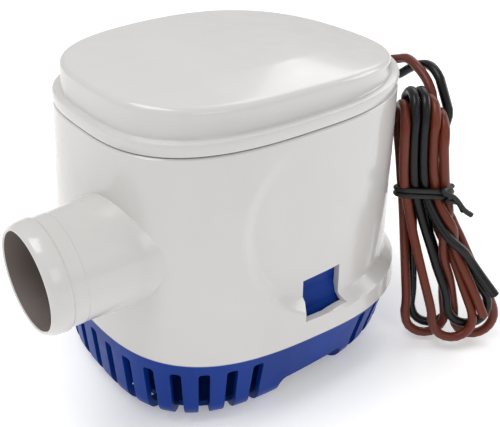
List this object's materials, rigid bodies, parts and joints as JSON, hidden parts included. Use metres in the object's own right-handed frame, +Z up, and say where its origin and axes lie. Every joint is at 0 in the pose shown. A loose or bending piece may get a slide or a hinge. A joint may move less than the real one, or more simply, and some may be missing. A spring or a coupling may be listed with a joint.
{
  "type": "bilge pump",
  "caption": "Submersible automatic bilge pump: moulded housing with a side hose outlet, clip-on slotted strainer base with release latches, and a two-wire lead.",
  "frame": {"origin": "middle of the flat underside of the strainer base, where the pump is screwed to the bilge", "axes": "+Z up along the motor shaft, -X along the hose outlet, the front latch faces -Y, lead at +X"},
  "size_m": [0.144, 0.1124, 0.0997],
  "materials": {
    "housing_white": "gloss",
    "base_blue": "semi-gloss",
    "inner_plastic": "satin",
    "steel": "brushed",
    "dark_metal": "satin",
    "copper": "satin",
    "carbon": "matte",
    "black_rubber": "matte",
    "float_foam": "matte",
    "circuit_board": "satin",
    "wire_black": "semi-gloss",
    "wire_brown": "semi-gloss"
  },
  "bodies": {
    "strainer": {"strainer_floor": "base_blue", "strainer_wall_nose": "base_blue", "strainer_wall_tail": "base_blue", "strainer_wall_front": "base_blue", "strainer_wall_rear": "base_blue"},
    "latch_front": {"latch_tab_front": "base_blue"},
    "latch_rear": {"latch_tab_rear": "base_blue"},
    "pump": {"main_housing": "housing_white", "top_cap": "housing_white", "volute_casing": "inner_plastic", "inlet_plate": "inner_plastic", "discharge_elbow": "inner_plastic", "motor_cup": "inner_plastic", "motor_end_cap": "inner_plastic", "float_stem": "inner_plastic", "casing_screw_1": "steel", "casing_screw_2": "steel", "casing_screw_3": "steel", "casing_screw_4": "steel", "motor_can": "steel", "bearing_lower": "steel", "bearing_upper": "steel", "stem_clip": "steel", "magnet_left": "dark_metal", "magnet_right": "dark_metal", "brush_left": "carbon", "brush_right": "carbon", "reed_switch": "carbon", "chamber_seal": "black_rubber", "shaft_seal": "black_rubber", "cable_gland": "black_rubber", "cable_tie": "black_rubber", "control_board": "circuit_board", "wire_black_lead": "wire_black", "wire_brown_lead": "wire_brown", "wire_hank": "wire_brown"},
    "rotor": {"motor_shaft": "steel", "armature_core": "dark_metal", "winding_lower": "copper", "winding_upper": "copper", "commutator": "copper", "impeller": "base_blue"},
    "float": {"float_ring": "float_foam", "float_magnet": "dark_metal"}
  },
  "joints": [
    {"name": "pump_lift_off", "type": "slide", "parent": "strainer", "child": "pump", "axis": [0, 0, 1], "range_m": [0, 0.045]},
    {"name": "rotor_spin", "type": "hinge", "parent": "pump", "child": "rotor", "pos_m": [0.006, 0, 0.06], "axis": [0, 0, 1], "continuous": true},
    {"name": "float_rise", "type": "slide", "parent": "pump", "child": "float", "axis": [0, 0, 1], "range_m": [0, 0.018]},
    {"name": "latch_front_press", "type": "hinge", "parent": "strainer", "child": "latch_front", "pos_m": [0.002, -0.041, 0.0236], "axis": [1, 0, 0], "range_deg": [-8, 0], "stiffness_Nm_per_rad": 0.5},
    {"name": "latch_rear_press", "type": "hinge", "parent": "strainer", "child": "latch_rear", "pos_m": [0.002, 0.041, 0.0236], "axis": [1, 0, 0], "range_deg": [0, 8], "stiffness_Nm_per_rad": 0.5}
  ]
}
